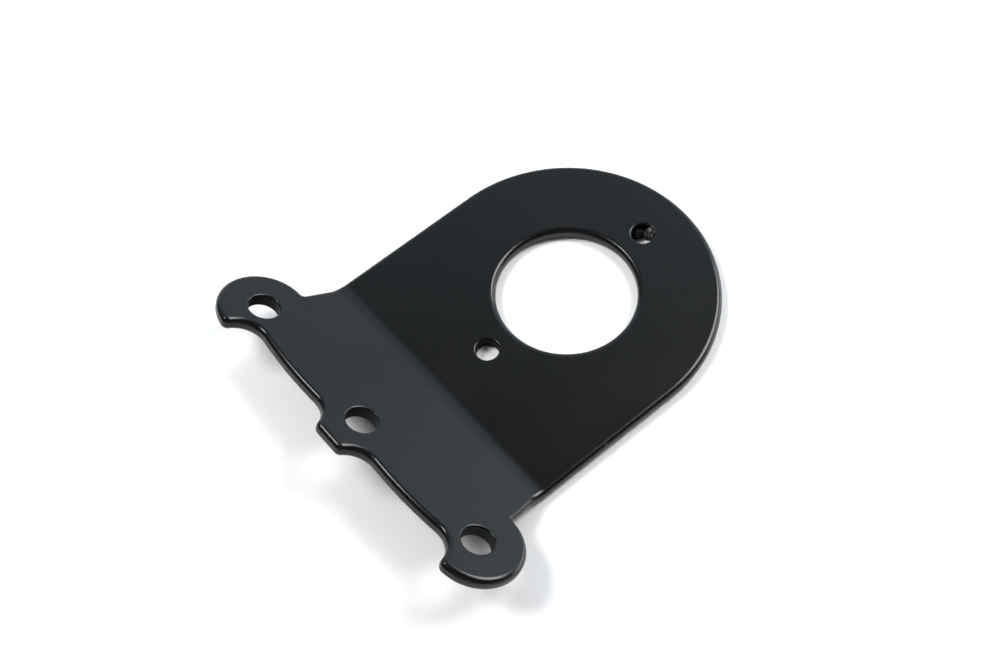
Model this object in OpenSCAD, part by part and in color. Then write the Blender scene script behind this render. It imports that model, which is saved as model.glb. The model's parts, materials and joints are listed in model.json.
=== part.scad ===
// Bracket for a small round instrument, cut and folded from one sheet.
// The plate lies flat on z = 0 and the flange rises towards -Y. The origin is
// the centre of the instrument's opening, on the underside. Sizes are in mm.

/* [Sheet] */
// Thickness of the sheet with its coat
sheet_t = 2.8; // [2.4:0.1:4]
// Radius of the rounded edges, at the rim and in the opening
edge_r = 1.1; // [0.4:0.05:1.25]
// Radius of the rounded edges in the stud holes and bolt holes
hole_edge_r = 0.4; // [0.2:0.05:0.7]

/* [Plate] */
// Width of the plate, which is the diameter of its round end
plate_w = 60; // [52:0.5:68]
// Diameter of the opening for the instrument's back
bore_d = 27.6; // [12:0.1:30]
// Distance between the two stud holes
stud_pitch = 40; // [38.5:0.5:48]
// Diameter of the stud holes
stud_d = 4.5; // [3:0.1:5.5]

/* [Fold] */
// Distance from the opening's centre to the fold line on the top face
fold_reach = 32.4; // [28:0.1:60]
// Angle by which the flange is folded up
fold_angle = 25; // [10:1:45]
// Inside radius of the fold
fold_r = 7; // [2:0.5:10]

/* [Flange] */
// Angle by which the flange's sides spread towards the ears
flare_angle = 11; // [4:0.5:16]
// Diameter of the three bolt holes
bolt_d = 6.1; // [4:0.1:7.5]
// Distance between the holes in the two ears
ear_pitch = 63.3; // [58:0.1:70]
// Distance from the fold line to the ear holes
ear_reach = 17.2; // [16:0.1:30]
// Diameter of the round ears
ear_d = 18; // [15.5:0.1:19]
// Angle past straight out at which an ear's rim turns into its tip
tip_angle = 7; // [0:1:14]
// How far the middle hole lies beyond the line of the ear holes
mid_lead = 1; // [0:0.1:3]
// Distance from the middle hole to the end of the tab
tab_wall = 8; // [7:0.1:9.5]
// Width of the tab across its rounded corners
tab_w = 7.8; // [5:0.1:14]
// Distance from the line of the ear holes to the crest of the free edge
edge_wall = 5.1; // [4.8:0.1:6.5]
// Radius of the free edge's slight bow
bow_r = 85; // [60:1:200]
// Distance of the bow's crest from the middle
bow_offset = 13.4; // [10:0.1:18]
// Radius of the hollow corners beside the ears and the tab
hollow_r = 5.2; // [3:0.1:5.6]
// Radius of the outward corners of the ears' tips and of the tab
corner_r = 1.4; // [1.3:0.1:2]

/* [Hidden] */

$fn = 96;

coat_colour = [0.035, 0.036, 0.038];

plate_r = plate_w / 2;
bore_r = bore_d / 2;
stud_y = stud_pitch / 2;
ear_r = ear_d / 2;
bolt_r = bolt_d / 2;
// Width of the strips that carry a rounded edge on their own
band = 2 * edge_r;
half_band = band / 2;
// Length that each straight stretch gives up to the fold's arc
fold_run = fold_r * tan(fold_angle / 2);
// Straight lead between the fold and the spreading sides
flare_lead = 0.5;
flare_start = fold_run + flare_lead;
// How far a cut edge runs into the next one where the two blend
bite = 0.06;
// How far the bent stretch and the cutters' edges stand proud of the sheet's faces
proud = 0.012;
// How far the straight stretches run into the bent one
lap = 0.2;
// How far the cutters stand out of the sheet's faces
over = sheet_t;

// Places in the flange's own plane, as [x, distance past the fold line]
side_from = [plate_r, flare_start];
ear_at = [ear_pitch / 2, ear_reach];
mid_at = [0, ear_reach + mid_lead];
tab_end = mid_at[1] + tab_wall;
bow_at = [bow_offset, ear_reach + edge_wall - bow_r];
tab_corner_at = [tab_w / 2 - corner_r, tab_end - corner_r + bite];
tip_at = ear_at + (ear_r - corner_r + bite) * [sin(tip_angle), cos(tip_angle)];
hollow_gap = hollow_r + corner_r - bite;
bow_gap = bow_r + hollow_r - bite;
tab_hollow_at = circles_meet(tab_corner_at, hollow_gap, bow_at, bow_gap);
ear_hollow_at = circles_meet(bow_at, bow_gap, tip_at, hollow_gap);
notch_at = line_meets_circle(side_from, flare_angle, ear_at, ear_r);
// Direction away from the fold
straight_out = 90;

// Angle of the line from point a to point b, from +X towards the free edge
function direction(a, b) = atan2(b[1] - a[1], b[0] - a[0]);

// The meeting point of two circles on the left of the way from the first centre to the second
function circles_meet(a, ra, b, rb) =
    let (
        gap = norm(b - a),
        along = (ra * ra - rb * rb + gap * gap) / (2 * gap),
        aside = sqrt(ra * ra - along * along),
        way = (b - a) / gap
    )
    a + along * way + aside * [-way[1], way[0]];

// The first point where a line that leans outward from +Y meets a circle
function line_meets_circle(from, lean, centre, radius) =
    let (
        way = [sin(lean), cos(lean)],
        gap = from - centre,
        half_b = gap * way,
        run = -half_b - sqrt(half_b * half_b - gap * gap + radius * radius)
    )
    from + run * way;

// Section of a sheet with both sides rounded, centred on the origin
module sheet_section(width, thickness = sheet_t, round_r = edge_r) {
    square([width - 2 * round_r, thickness], center = true);
    square([width, thickness - 2 * round_r], center = true);
    for (side = [-1, 1], face = [-1, 1])
        translate([side * (width / 2 - round_r), face * (thickness / 2 - round_r)])
            circle(r = round_r);
}

// Section of a strip of the sheet, rounded at x = 0 and cut square at x = width
module edge_section(width, round_r = edge_r) {
    intersection() {
        translate([width, sheet_t / 2]) sheet_section(2 * width, sheet_t, round_r);
        square([width, sheet_t]);
    }
}

// Section of a cutter that leaves a rounded edge at x = 0 on a sheet that lies at x > 0
module void_section(depth) {
    difference() {
        translate([-depth, -over]) square([depth + edge_r, sheet_t + 2 * over]);
        translate([band, sheet_t / 2]) sheet_section(2 * band, sheet_t + 2 * proud);
    }
}

// Stretch of the sheet with a round outer edge, from one angle to another
module round_rim(radius, width, from = 0, to = 360) {
    rotate([0, 0, from])
        rotate_extrude(angle = to - from)
            translate([radius, 0]) mirror([1, 0]) edge_section(width);
}

// Rim of a hole, as a ring that lines a wider cut
module hole_rim(radius, round_r) {
    rotate_extrude() translate([radius, 0]) edge_section(2 * round_r, round_r);
}

// The wider cut that a hole's rim lines
module hole_cut(radius, round_r) {
    translate([0, 0, -over]) cylinder(r = radius + round_r, h = sheet_t + 2 * over);
}

// Cutter for a hollow corner
module hollow_cut() {
    rotate_extrude()
        intersection() {
            translate([hollow_r, 0]) void_section(2 * hollow_r);
            translate([0, -over]) square([2 * hollow_r, sheet_t + 2 * over]);
        }
}

// Cutter for all that lies outside an arc, from one angle to another
module outside_cut(radius, depth, from, to) {
    rotate([0, 0, from])
        rotate_extrude(angle = to - from)
            translate([radius, 0]) mirror([1, 0]) void_section(depth);
}

// Full width of the sheet, run along -Y from y = 0
module sheet_run(length) {
    translate([0, 0, sheet_t / 2])
        rotate([90, 0, 0]) linear_extrude(length) sheet_section(plate_w);
}

// The flat plate with its opening and stud holes
module plate() {
    difference() {
        union() {
            round_rim(plate_r, plate_r - bore_r / 2, 0, 180);
            sheet_run(fold_reach - fold_run + lap);
        }
        hole_cut(bore_r, edge_r);
        for (y = [-stud_y, stud_y]) translate([0, y, 0]) hole_cut(stud_d / 2, hole_edge_r);
    }
    hole_rim(bore_r, edge_r);
    for (y = [-stud_y, stud_y]) translate([0, y, 0]) hole_rim(stud_d / 2, hole_edge_r);
}

// The bent stretch between the plate and the flange, about the fold's own axis
module fold() {
    rotate([180, 90, 0])
        rotate_extrude(angle = fold_angle)
            translate([fold_r + sheet_t / 2, 0])
                rotate(90) sheet_section(plate_w + 2 * proud, sheet_t + 2 * proud);
}

// The spreading side of the flange, a strip that runs from the fold into the ear
module flange_side() {
    length = norm(notch_at - side_from);
    translate(side_from)
        rotate([0, 0, -flare_angle])
            translate([0, length + band, 0])
                rotate([90, 0, 0])
                    linear_extrude(length + band + flare_lead)
                        mirror([1, 0]) edge_section(band);
}

// Takes the second child and its mirror image out of the first child
module cut_both_sides() {
    difference() {
        children(0);
        for (side = [0, 1]) mirror([side, 0, 0]) children(1);
    }
}

// The flange with full ears, before its outer edge is shaped
module flange_blank() {
    inset = [half_band, 0];
    half = [side_from - inset, notch_at - inset, ear_at, ear_hollow_at, tab_hollow_at];
    other = [for (i = [len(half) - 1 : -1 : 0]) [-half[i][0], half[i][1]]];
    linear_extrude(sheet_t) polygon(concat(half, other));
    for (side = [0, 1])
        mirror([side, 0, 0]) {
            translate(ear_at) round_rim(ear_r, ear_r - bolt_r / 2);
            flange_side();
        }
    mirror([0, 1, 0]) translate([0, lap - fold_run, 0]) sheet_run(lap + flare_lead + band);
}

// The hollow corners beside the ears and the tab
module hollow_cuts() {
    translate(ear_hollow_at) hollow_cut();
    translate(tab_hollow_at) hollow_cut();
}

// The bowed free edge between two hollow corners
module bow_cut() {
    from = direction(bow_at, ear_hollow_at);
    to = direction(bow_at, tab_hollow_at);
    translate(bow_at) outside_cut(bow_r, 2 * hollow_r, from, to);
}

// The rounded tip of an ear
module tip_cut() {
    from = direction(ear_at, tip_at);
    to = direction(tip_at, ear_hollow_at);
    translate(tip_at) outside_cut(corner_r, corner_r, from, to);
}

// The straight end of the tab, from its middle to the hollow corner
module tab_cut() {
    translate([0, tab_end, 0])
        rotate([90, 0, 90])
            linear_extrude(tab_hollow_at[0]) mirror([1, 0]) void_section(2 * hollow_r);
}

// A rounded corner of the tab
module tab_corner_cut() {
    from = direction(tab_corner_at, tab_hollow_at);
    translate(tab_corner_at) outside_cut(corner_r, corner_r, from, straight_out);
}

// The flange with its outer edge, with +Y past the fold line and z = 0 on its underside
module flange_shape() {
    cut_both_sides() {
        cut_both_sides() {
            cut_both_sides() {
                cut_both_sides() {
                    flange_blank();
                    hollow_cuts();
                }
                bow_cut();
            }
            union() {
                tip_cut();
                tab_cut();
            }
        }
        tab_corner_cut();
    }
}

// The flange with its bolt holes
module flange() {
    places = [ear_at, mid_at, [-ear_at[0], ear_at[1]]];
    difference() {
        flange_shape();
        for (place = places) translate(place) hole_cut(bolt_r, hole_edge_r);
    }
    for (place = places) translate(place) hole_rim(bolt_r, hole_edge_r);
}

// The whole bracket, one folded sheet
module bracket() {
    color(coat_colour) {
        plate();
        translate([0, fold_run - fold_reach, sheet_t + fold_r]) {
            fold();
            rotate([-fold_angle, 0, 0])
                translate([0, fold_run, -fold_r - sheet_t])
                    mirror([0, 1, 0]) flange();
        }
    }
}

bracket();
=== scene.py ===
"""Satin black bracket for a small round instrument, on a white studio floor.

The sheet is drawn flat, as an outline with holes, in x and s, where s is the distance past the
fold line. It is then given rounded edges and bent about the fold. Lengths are in millimetres
until a point is placed in the frame, which is in metres.
"""
import json
from math import atan2, ceil, cos, pi, radians, sin, sqrt, tan

import bmesh
import bpy
from mathutils import Matrix, Vector, noise
from mathutils.geometry import delaunay_2d_cdt


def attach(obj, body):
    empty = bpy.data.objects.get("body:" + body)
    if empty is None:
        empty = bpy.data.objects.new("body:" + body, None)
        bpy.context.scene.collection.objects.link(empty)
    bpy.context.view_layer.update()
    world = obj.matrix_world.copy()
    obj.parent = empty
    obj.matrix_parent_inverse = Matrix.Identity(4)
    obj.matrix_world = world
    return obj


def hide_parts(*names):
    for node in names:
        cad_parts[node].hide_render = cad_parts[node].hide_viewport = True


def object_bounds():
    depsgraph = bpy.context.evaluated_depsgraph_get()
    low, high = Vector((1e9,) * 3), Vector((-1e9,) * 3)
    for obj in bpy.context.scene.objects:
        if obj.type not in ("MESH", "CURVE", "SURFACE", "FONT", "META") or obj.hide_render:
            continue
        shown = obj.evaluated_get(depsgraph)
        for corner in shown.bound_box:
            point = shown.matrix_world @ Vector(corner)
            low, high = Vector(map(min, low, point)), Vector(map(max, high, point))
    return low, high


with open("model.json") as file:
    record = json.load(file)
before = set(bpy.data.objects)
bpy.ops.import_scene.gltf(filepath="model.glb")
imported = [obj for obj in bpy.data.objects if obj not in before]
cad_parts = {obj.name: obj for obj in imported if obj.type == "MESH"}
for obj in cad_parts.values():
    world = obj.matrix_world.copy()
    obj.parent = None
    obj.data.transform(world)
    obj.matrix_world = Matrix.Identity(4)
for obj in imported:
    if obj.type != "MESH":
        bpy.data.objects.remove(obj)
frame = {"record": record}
cad_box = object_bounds()
mounts = {mount["name"]: mount for mount in frame["record"]["mounts"]}

MM = 0.001

# Sheet, with the radius of its edges at the rim and the opening, and at the small holes
SHEET_T = mounts["instrument_seat"]["pos_m"][2] / MM
RIM_R = 1.1
HOLE_RIM_R = 0.4
# Steps over each quarter turn of a rounded edge
EDGE_STEPS = 8
# Row of a small hole's rim from which its drilled wall is dull, and the dull coat's material slot
DULL_FROM = 5
DULL_INDEX = 1

# Plate
PLATE_R = 30.0
BORE_R = mounts["instrument_opening"]["dims"]["r_mm"]
STUD_R = mounts["stud_holes"]["dims"]["hole_r_mm"]
STUD_Y = mounts["stud_holes"]["dims"]["spacing_y_mm"] / 2

# Fold
FOLD_REACH = 32.4
FOLD_ANGLE = radians(25)
FOLD_R = 7.0
FOLD_RUN = FOLD_R * tan(FOLD_ANGLE / 2)
FOLD_STEPS = 16
PLATE_AT = Vector((0, -FOLD_REACH))

# Flange, with the reach of its features past the fold line
FLARE_LEAD = 0.5
FLARE_ANGLE = radians(11)
BOLT_R = mounts["ear_holes"]["dims"]["hole_r_mm"]
EAR_REACH = 17.2
EAR_AT = Vector((mounts["ear_holes"]["dims"]["pcd_mm"] / 2, EAR_REACH))
EAR_R = 9.0
TIP_ANGLE = radians(7)
MID_LEAD = 1.0
MID_REACH = EAR_REACH + MID_LEAD
TAB_WALL = 8.0
TAB_END = MID_REACH + TAB_WALL
TAB_W = 7.8
EDGE_WALL = 5.1
CREST_REACH = EAR_REACH + EDGE_WALL
BOW_R = 85.0
BOW_X = 13.4
HOLLOW_R = 5.2
CORNER_R = 1.4
NOTCH_R = 0.6

# Longest chord on an outline, and largest turn between two of its points
CHORD = 0.8
TURN = radians(6)
# Points nearer than this are one point
SAME_PLACE = 1e-6

# Paint marks and the painted shade blob: fineness of their mesh, and depth and closeness of their large
# and small bumps
MARK_STEPS = 5
BUMP_DEPTH = 0.35
LARGE_BUMPS = 1.9
SMALL_BUMPS = 4.5

# Coat: darkest and lightest colour, and the range that a noise texture seldom leaves
COAT_DARK = (0.0025, 0.0030, 0.0031, 1)
COAT_LIGHT = (0.0036, 0.0042, 0.0044, 1)
NOISE_LOW = 0.3
NOISE_HIGH = 0.7


def ray(angle):
    """Unit vector at an angle from +x towards +s."""
    return Vector((cos(angle), sin(angle)))


def heading(a, b):
    """Angle of the way from a to b."""
    return atan2(b[1] - a[1], b[0] - a[0])


def circles_meet(a, ra, b, rb):
    """The meeting point of two circles on the left of the way from a to b."""
    gap = (b - a).length
    along = (ra * ra - rb * rb + gap * gap) / (2 * gap)
    way = (b - a) / gap
    return a + along * way + sqrt(ra * ra - along * along) * Vector((-way[1], way[0]))


def arc(centre, radius, start, stop, outward=1):
    """Outline points on an arc: place and outward normal. outward is -1 on a hollow arc."""
    turn = stop - start
    steps = max(2, ceil(abs(turn) / TURN), ceil(abs(turn) * radius / CHORD))
    angles = [start + turn * k / steps for k in range(steps + 1)]
    return [(centre + radius * ray(a), outward * ray(a)) for a in angles]


def line(a, b, normal, stops=None):
    """Outline points on a straight stretch, at the given values of s or evenly."""
    steps = max(1, ceil((b - a).length / CHORD))
    shares = [k / steps for k in range(steps + 1)]
    if stops:
        shares = [(s - a[1]) / (b[1] - a[1]) for s in stops]
    return [(a.lerp(b, share), normal) for share in shares]


def fold_stops():
    """Values of s at which the sheet is creased into the fold's arc."""
    return [FOLD_RUN * (2 * k / FOLD_STEPS - 1) for k in range(FOLD_STEPS + 1)]


def half_outline():
    """The right half of the sheet's outline, from the round end to the middle of the tab."""
    plate_from = Vector((PLATE_R, -FOLD_REACH))
    fold_from = Vector((PLATE_R, -FOLD_RUN))
    fold_to = Vector((PLATE_R, FOLD_RUN))
    right = Vector((1, 0))
    side_at = Vector((PLATE_R, FOLD_RUN + FLARE_LEAD))
    side_way = Vector((sin(FLARE_ANGLE), cos(FLARE_ANGLE)))
    side_out = Vector((side_way[1], -side_way[0]))

    # Where the side runs into the ear, a small hollow arc lies outside both
    lead = side_at + NOTCH_R * side_out - EAR_AT
    back = lead.dot(side_way)
    run = -back - sqrt(back * back - lead.length_squared + (EAR_R + NOTCH_R) ** 2)
    notch_at = side_at + NOTCH_R * side_out + run * side_way
    notch_out = heading(EAR_AT, notch_at)

    # Centres of the arcs along the free edge, each touching the next
    tip_out = pi / 2 - TIP_ANGLE
    tip_at = EAR_AT + (EAR_R - CORNER_R) * ray(tip_out)
    bow_at = Vector((BOW_X, CREST_REACH - BOW_R))
    tab_at = Vector((TAB_W / 2 - CORNER_R, TAB_END - CORNER_R))
    tab_hollow = circles_meet(tab_at, HOLLOW_R + CORNER_R, bow_at, BOW_R + HOLLOW_R)
    ear_hollow = circles_meet(bow_at, BOW_R + HOLLOW_R, tip_at, HOLLOW_R + CORNER_R)

    stretches = [
        arc(PLATE_AT, PLATE_R, -pi / 2, 0),
        line(plate_from, fold_from, right),
        line(fold_from, fold_to, right, fold_stops()),
        arc(side_at - Vector((FLARE_LEAD, 0)), FLARE_LEAD, 0, -FLARE_ANGLE),
        line(side_at, side_at + run * side_way, side_out),
        arc(notch_at, NOTCH_R, pi - FLARE_ANGLE, notch_out + pi, -1),
        arc(EAR_AT, EAR_R, notch_out, tip_out),
        arc(tip_at, CORNER_R, tip_out, heading(tip_at, ear_hollow)),
        arc(ear_hollow, HOLLOW_R, heading(ear_hollow, tip_at), heading(ear_hollow, bow_at), -1),
        arc(bow_at, BOW_R, heading(bow_at, ear_hollow), heading(bow_at, tab_hollow)),
        arc(tab_hollow, HOLLOW_R, heading(tab_hollow, bow_at), heading(tab_hollow, tab_at), -1),
        arc(tab_at, CORNER_R, heading(tab_at, tab_hollow), pi / 2),
        line(Vector((tab_at[0], TAB_END)), Vector((0, TAB_END)), Vector((0, 1))),
    ]
    return [point for stretch in stretches for point in stretch]


def whole_outline():
    """The closed outline: the right half, then its mirror image back to the round end."""
    right = half_outline()
    left = [(Vector((-p[0], p[1])), Vector((-n[0], n[1]))) for p, n in reversed(right)]
    points = []
    for point in right + left:
        if not points or (point[0] - points[-1][0]).length > SAME_PLACE:
            points.append(point)
    if (points[0][0] - points[-1][0]).length < SAME_PLACE:
        points.pop()
    return points


def hole_outline(centre, radius):
    """The closed outline of a hole, whose outward normals point to its centre."""
    return arc(centre, radius, 2 * pi, 0, -1)[:-1]


def sheet_loops():
    """All closed outlines of the flat sheet, the outer one first, each with its edge's radius."""
    small_holes = [
        (PLATE_AT - Vector((0, STUD_Y)), STUD_R),
        (PLATE_AT + Vector((0, STUD_Y)), STUD_R),
        (EAR_AT, BOLT_R),
        (Vector((-EAR_AT[0], EAR_AT[1])), BOLT_R),
        (Vector((0, MID_REACH)), BOLT_R),
    ]
    loops = [(whole_outline(), RIM_R), (hole_outline(PLATE_AT, BORE_R), RIM_R)]
    return loops + [(hole_outline(centre, radius), HOLE_RIM_R) for centre, radius in small_holes]


def bend(point, depth, normal):
    """Places a point of the flat sheet and its normal (across, along s, up) on the bent one."""
    x, s = point
    share = min(max((s + FOLD_RUN) / (2 * FOLD_RUN), 0), 1)
    angle = share * FOLD_ANGLE
    along = Vector((0, -cos(angle), sin(angle)))
    up = Vector((0, sin(angle), cos(angle)))
    if 0 < share < 1:
        axis = Vector((x, FOLD_RUN - FOLD_REACH, SHEET_T + FOLD_R))
        place = axis - (FOLD_R + depth) * up
    else:
        place = Vector((x, -FOLD_REACH, SHEET_T)) + s * along - depth * up
    return place * MM, Vector((normal[0], 0, 0)) + normal[1] * along + normal[2] * up


def edge_profile(radius):
    """The rounded edge from the top face to the underside: inset, depth, outward and upward normal."""
    rows = []
    for level, start in ((radius, 0), (SHEET_T - radius, pi / 2)):
        for k in range(EDGE_STEPS + 1):
            angle = start + k * pi / 2 / EDGE_STEPS
            inset = radius * (1 - sin(angle))
            rows.append((inset, level - radius * cos(angle), sin(angle), cos(angle)))
    return rows


def inside(point, polygon):
    """True if a point lies in a closed polygon."""
    result = False
    for a, b in zip(polygon, polygon[1:] + polygon[:1]):
        if (a[1] > point[1]) != (b[1] > point[1]):
            if point[0] < a[0] + (point[1] - a[1]) * (b[0] - a[0]) / (b[1] - a[1]):
                result = not result
    return result


def flat_triangles(rings):
    """Triangles inside the first ring and outside the others, cut along the fold's creases."""
    places = sum(rings, [])
    edges, first = [], 0
    for ring in rings:
        edges += [(first + k, first + (k + 1) % len(ring)) for k in range(len(ring))]
        first += len(ring)
    outer = range(len(rings[0]))
    for s in fold_stops():
        ends = [Vector((side * (PLATE_R - RIM_R), s)) for side in (-1, 1)]
        edges.append(tuple(min(outer, key=lambda k: (places[k] - end).length) for end in ends))
    _, _, triangles, origins, _, _ = delaunay_2d_cdt(places, edges, [], 0, SAME_PLACE)

    kept = []
    for triangle in triangles:
        corners = [origins[k][0] for k in triangle]
        middle = sum((places[k] for k in corners), Vector((0, 0))) / 3
        if sum(inside(middle, ring) for ring in rings) == 1:
            kept.append(corners)
    return kept


def sheet_piece():
    """The whole bent sheet as one closed mesh with exact normals."""
    bm = bmesh.new()
    normals, tops, unders, flat_rings = [], [], [], []

    def bent_ring(loop, inset, depth, outward, up):
        ring = []
        for p, n in loop:
            place, normal = bend(p - inset * n, depth, (n[0] * outward, n[1] * outward, up))
            ring.append(bm.verts.new(place))
            normals.append(normal)
        return ring

    # Rounded rims, ring by ring
    for loop, radius in sheet_loops():
        rings = [bent_ring(loop, *row) for row in edge_profile(radius)]
        for row, (upper, lower) in enumerate(zip(rings, rings[1:])):
            for k in range(len(loop)):
                face = bm.faces.new((upper[k], lower[k], lower[k - 1], upper[k - 1]))
                if radius == HOLE_RIM_R and row >= DULL_FROM:
                    face.material_index = DULL_INDEX
        tops += rings[0]
        unders += rings[-1]
        flat_rings.append([p - radius * n for p, n in loop])

    # Flat faces on both sides
    for corners in flat_triangles(flat_rings):
        bm.faces.new([tops[k] for k in reversed(corners)])
        bm.faces.new([unders[k] for k in corners])
    return mesh_object("bracket_sheet", bm, normals)


def mesh_object(name, bm, normals=None):
    """A smooth shaded object from a bmesh, in the scene."""
    mesh = bpy.data.meshes.new(name)
    bm.to_mesh(mesh)
    bm.free()
    mesh.shade_smooth()
    if normals:
        mesh.normals_split_custom_set_from_vertices(normals)
    piece = bpy.data.objects.new(name, mesh)
    bpy.context.collection.objects.link(piece)
    return piece


def uneven_blob(name, centre, size, seed):
    """A small uneven blob with half sizes along x, y and z, used for dried paint and for one dark blob of
    painted shade.
    """
    bm = bmesh.new()
    bmesh.ops.create_icosphere(bm, subdivisions=MARK_STEPS, radius=1)
    for vertex in bm.verts:
        way = vertex.co.normalized()
        bumps = noise.noise(LARGE_BUMPS * way + seed) + noise.noise(SMALL_BUMPS * way + seed)
        reach = Vector([half * share for half, share in zip(size, way)])
        vertex.co = MM * (centre + (1 + BUMP_DEPTH * bumps) * reach)
    return mesh_object(name, bm)


def coat_material(name, specular, gloss):
    """Black coat with a mirror strength, a gloss between two roughnesses and a faint orange peel."""
    material = bpy.data.materials.new(name)
    material.use_nodes = True
    nodes = material.node_tree.nodes
    links = material.node_tree.links
    shader = nodes["Principled BSDF"]
    shader.inputs["Specular IOR Level"].default_value = specular
    place = nodes.new("ShaderNodeTexCoord")

    def patches(scale, detail):
        texture = nodes.new("ShaderNodeTexNoise")
        texture.inputs["Scale"].default_value = scale
        texture.inputs["Detail"].default_value = detail
        links.new(place.outputs["Object"], texture.inputs["Vector"])
        return texture.outputs["Fac"]

    def spread(source, low, high):
        ramp = nodes.new("ShaderNodeMapRange")
        ramp.inputs["From Min"].default_value = NOISE_LOW
        ramp.inputs["From Max"].default_value = NOISE_HIGH
        ramp.inputs["To Min"].default_value = low
        ramp.inputs["To Max"].default_value = high
        links.new(source, ramp.inputs["Value"])
        return ramp.outputs["Result"]

    cloud = patches(scale=60, detail=3)
    tone = nodes.new("ShaderNodeMix")
    tone.data_type = "RGBA"
    tone.inputs["A"].default_value = COAT_DARK
    tone.inputs["B"].default_value = COAT_LIGHT
    links.new(cloud, tone.inputs["Factor"])
    links.new(tone.outputs["Result"], shader.inputs["Base Color"])
    links.new(spread(cloud, *gloss), shader.inputs["Roughness"])

    peel = nodes.new("ShaderNodeBump")
    peel.inputs["Strength"].default_value = 0.06
    peel.inputs["Distance"].default_value = 0.05 * MM
    links.new(patches(scale=900, detail=2), peel.inputs["Height"])
    links.new(peel.outputs["Normal"], shader.inputs["Normal"])
    return material


def floor_material():
    """Plain white studio floor."""
    material = bpy.data.materials.new("white_floor")
    material.use_nodes = True
    shader = material.node_tree.nodes["Principled BSDF"]
    shader.inputs["Base Color"].default_value = (0.93, 0.93, 0.93, 1)
    shader.inputs["Roughness"].default_value = 0.9
    shader.inputs["Specular IOR Level"].default_value = 0.1
    return material


def make_floor():
    """A large flat floor under the bracket."""
    half = 3.0
    corners = ((-half, -half), (half, -half), (half, half), (-half, half))
    bm = bmesh.new()
    bm.faces.new([bm.verts.new((x, y, 0)) for x, y in corners])
    floor = mesh_object("floor", bm)
    floor.location.z = cad_box[0][2]
    floor.data.materials.append(floor_material())


def make_camera():
    """The camera where it stood for the photograph, in its 1000 by 666 frame."""
    at = Vector((126.88, -109.23, 267.42)) * MM
    aim = Vector((-2.27, -15.04, 0.5)) * MM
    roll = radians(-4.64)
    focal_px = 1616.0
    frame_px = 1000
    camera = bpy.data.objects.new("camera", bpy.data.cameras.new("camera"))
    camera.data.sensor_fit = "HORIZONTAL"
    camera.data.sensor_width = 36
    camera.data.lens = camera.data.sensor_width * focal_px / frame_px
    camera.data.clip_start = 10 * MM
    turn = (aim - at).to_track_quat("-Z", "Y").to_matrix().to_4x4()
    camera.matrix_world = Matrix.Translation(at) @ turn @ Matrix.Rotation(roll, 4, "Z")
    bpy.context.collection.objects.link(camera)
    bpy.context.scene.camera = camera


def softbox(name, azimuth, elevation, size, radiance, gloss=True, floor=True):
    """A soft white panel a metre away, at angles from +X and above the floor, turned to the bracket.

    Panels without gloss are not mirrored in the coat, and panels without floor only show in it.
    """
    light = bpy.data.lights.new(name, "AREA")
    light.shape = "RECTANGLE"
    light.size, light.size_y = size
    light.energy = radiance * pi * light.size * light.size_y
    lamp = bpy.data.objects.new(name, light)
    flat = cos(radians(elevation))
    way = Vector((flat * cos(radians(azimuth)), flat * sin(radians(azimuth)), sin(radians(elevation))))
    lamp.location = way
    lamp.rotation_euler = (-way).to_track_quat("-Z", "Y").to_euler()
    lamp.visible_camera = False
    lamp.visible_glossy = gloss
    lamp.visible_diffuse = floor
    bpy.context.collection.objects.link(lamp)


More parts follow.
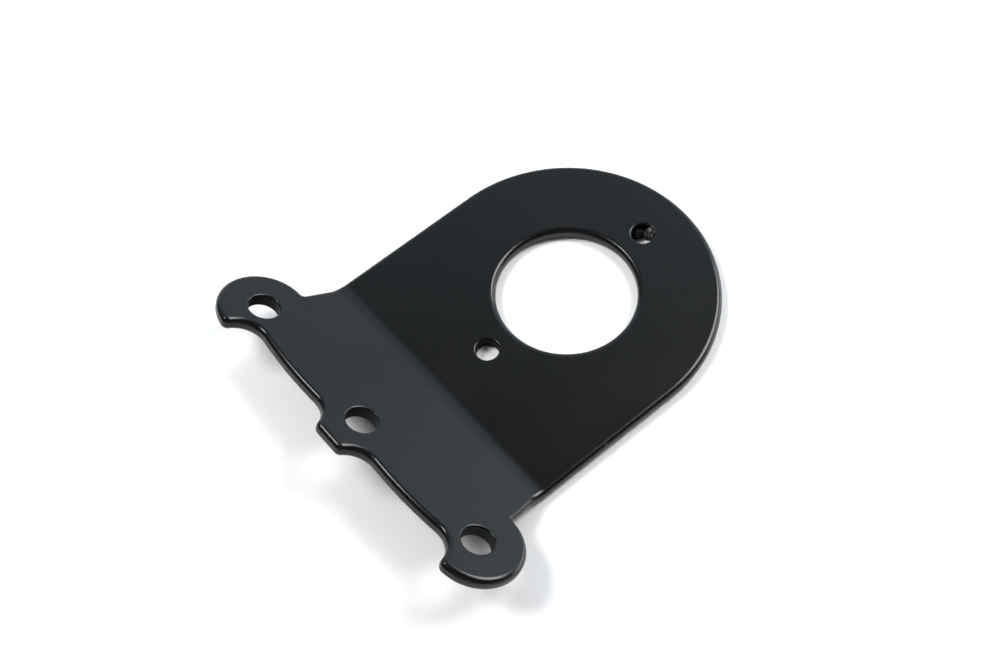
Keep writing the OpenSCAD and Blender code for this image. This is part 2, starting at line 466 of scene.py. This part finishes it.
def make_room():
    """A dim room with one bright, slightly blue wall, beyond the bracket as the camera sees it."""
    wall_azimuth = radians(130)
    brightness = 1.4
    world = bpy.data.worlds.new("studio")
    bpy.context.scene.world = world
    world.use_nodes = True
    nodes = world.node_tree.nodes
    links = world.node_tree.links
    way = nodes.new("ShaderNodeTexCoord")
    facing = nodes.new("ShaderNodeVectorMath")
    facing.operation = "DOT_PRODUCT"
    facing.inputs[1].default_value = (cos(wall_azimuth), sin(wall_azimuth), 0)
    tones = nodes.new("ShaderNodeValToRGB")
    room, wall = tones.color_ramp.elements
    room.position = 0.45
    room.color = (0.08, 0.08, 0.085, 1)
    wall.position = 0.62
    wall.color = (0.68, 0.77, 0.85, 1)
    links.new(way.outputs["Generated"], facing.inputs[0])
    links.new(facing.outputs["Value"], tones.inputs["Fac"])
    links.new(tones.outputs["Color"], nodes["Background"].inputs["Color"])
    nodes["Background"].inputs["Strength"].default_value = brightness


def make_light():
    """The room, panels that only show mirrored in the coat, and lamps that it doesn't mirror."""
    make_room()
    # Name, azimuth, elevation, width and height, and radiance
    panels = (
        ("mirrored_back", 74, 48, (0.7, 0.52), 13.0),
        ("mirrored_low", 72, 5, (0.7, 0.18), 8.0),
        ("mirrored_wall", 104, 20, (0.4, 0.6), 0.4),
        ("mirrored_left", 216, 58, (0.24, 0.24), 25.0),
        ("mirrored_front", 308, 17, (0.9, 0.4), 0.4),
    )
    lamps = (
        ("lamp_back", 72, 46, (0.5, 0.5), 10.7),
        ("lamp_left", 222, 51, (0.4, 0.4), 17.5),
        ("overhead", 200, 86, (1.2, 1.2), 0.15),
    )
    for panel in panels:
        softbox(*panel, floor=False)
    for lamp in lamps:
        softbox(*lamp, gloss=False)
    bpy.context.scene.view_settings.view_transform = "Standard"


make_camera()
make_floor()
make_light()

coat = coat_material("satin_black_coat", specular=0.3, gloss=(0.20, 0.24))
dull = coat_material("dull_black_coat", specular=0.08, gloss=(0.4, 0.5))
sheet = sheet_piece()
sheet.data.materials.append(coat)
sheet.data.materials.append(dull)
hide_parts("bracket")
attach(sheet, "root")

# Dried paint in the far stud hole, a dark dull blob of painted shade filling the shadowed back of that
# hole, and two specks on the flange's left side and the plate's right edge
far_stud = Vector((0, STUD_Y, 0))
# Name, centre, half sizes, seed of the bumps, and coat
paint_and_shade_blobs = (
    # Painted shade: a dark dull blob put where the back of the far stud hole lies in shadow
    ("paint_run", far_stud + Vector((-1.3, 0.3, 1.0)), (0.9, 1.3, 0.7), Vector((2, 5, 3)), dull),
    ("paint_lump", far_stud + Vector((0.9, 1.2, 2.2)), (1.2, 1.4, 0.8), Vector((4, 2, 9)), coat),
    ("flange_nib", Vector((-27.7, -41.2, 6.85)), (0.3, 0.3, 0.25), Vector((5, 2, 1)), coat),
    ("edge_nib", Vector((PLATE_R - 0.4, -16.6, SHEET_T - 0.4)), (0.3, 0.4, 0.3), Vector((1, 6, 4)), coat),
)
for *shape, finish in paint_and_shade_blobs:
    mark = uneven_blob(*shape)
    mark.data.materials.append(finish)
    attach(mark, "root")
